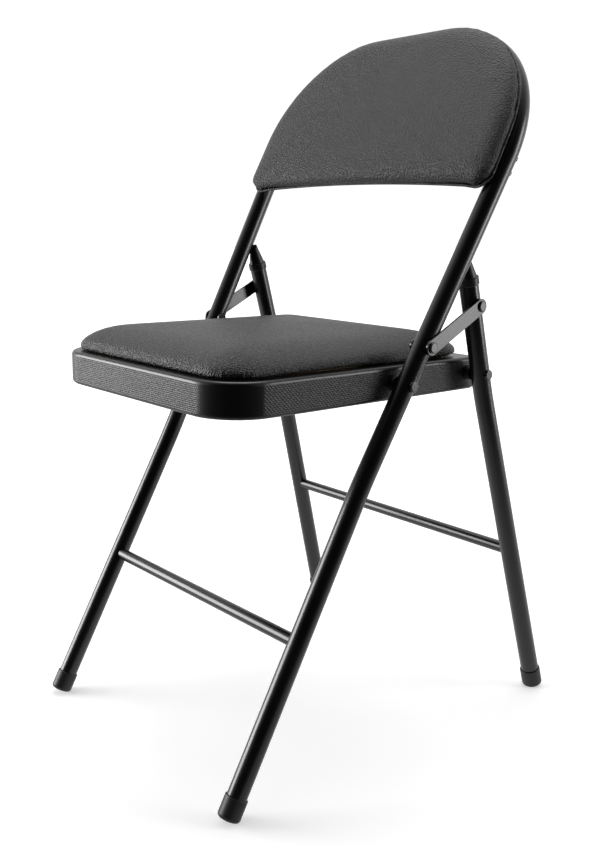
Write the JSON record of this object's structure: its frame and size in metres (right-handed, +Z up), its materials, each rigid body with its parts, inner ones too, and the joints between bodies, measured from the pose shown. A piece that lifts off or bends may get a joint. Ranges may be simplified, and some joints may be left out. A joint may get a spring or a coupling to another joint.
{
  "type": "folding chair",
  "caption": "Padded steel folding chair; the seat pan, rear legs and link straps fold flat against a single bent front frame.",
  "frame": {"origin": "floor level, under the centre of the open chair", "axes": "+Z up, -Y the way the seat faces, +X to the sitter's left"},
  "size_m": [0.4422, 0.5, 0.8298],
  "materials": {
    "coated_steel": "semi-gloss black powder coat",
    "coated_sheet": "satin black powder coat with a fine wrinkle",
    "fastener": "semi-gloss black",
    "vinyl": "soft-sheen black vinyl with a fine grain",
    "rubber_cap": "satin black",
    "plastic_cap": "matte black",
    "nylon": "matte black",
    "board": "raw plywood"
  },
  "bodies": {
    "front_frame": {"front_frame_tube": "coated_steel", "front_cross_brace": "coated_steel", "front_foot_left": "rubber_cap", "front_foot_right": "rubber_cap", "seat_front_pivot_rivets": "fastener", "seat_front_spacers": "nylon", "link_front_rivets": "fastener", "backrest_shell": "coated_sheet", "backrest_pad": "vinyl", "backrest_screws": "fastener"},
    "seat": {"seat_pan": "coated_sheet", "seat_board": "board", "seat_board_screws": "fastener", "seat_crossbars": "coated_steel", "seat_cushion": "vinyl"},
    "rear_legs": {"rear_leg_left": "coated_steel", "rear_leg_right": "coated_steel", "rear_cross_brace": "coated_steel", "rear_foot_left": "rubber_cap", "rear_foot_right": "rubber_cap", "leg_cap_left": "plastic_cap", "leg_cap_right": "plastic_cap", "seat_rear_pivot_rivets": "fastener", "seat_rear_spacers": "nylon"},
    "links": {"link_left": "coated_steel", "link_right": "coated_steel", "link_rear_rivets": "fastener"}
  },
  "joints": [
    {"name": "seat_fold", "type": "hinge", "parent": "front_frame", "child": "seat", "pos_m": [0, 0.0026, 0.425], "axis": [-1, 0, 0], "range_deg": [0, 108.5]},
    {"name": "rear_leg_fold", "type": "hinge", "parent": "seat", "child": "rear_legs", "pos_m": [0, 0.1278, 0.424], "axis": [1, 0, 0], "range_deg": [0, 63.8]},
    {"name": "link_fold", "type": "hinge", "parent": "front_frame", "child": "links", "pos_m": [0, 0.026, 0.4655], "axis": [-1, 0, 0], "range_deg": [0, 130.3]}
  ],
  "couplings": [
    {"joint": "rear_leg_fold", "follows": "seat_fold", "ratio": 0.588},
    {"joint": "link_fold", "follows": "seat_fold", "ratio": 1.201}
  ]
}
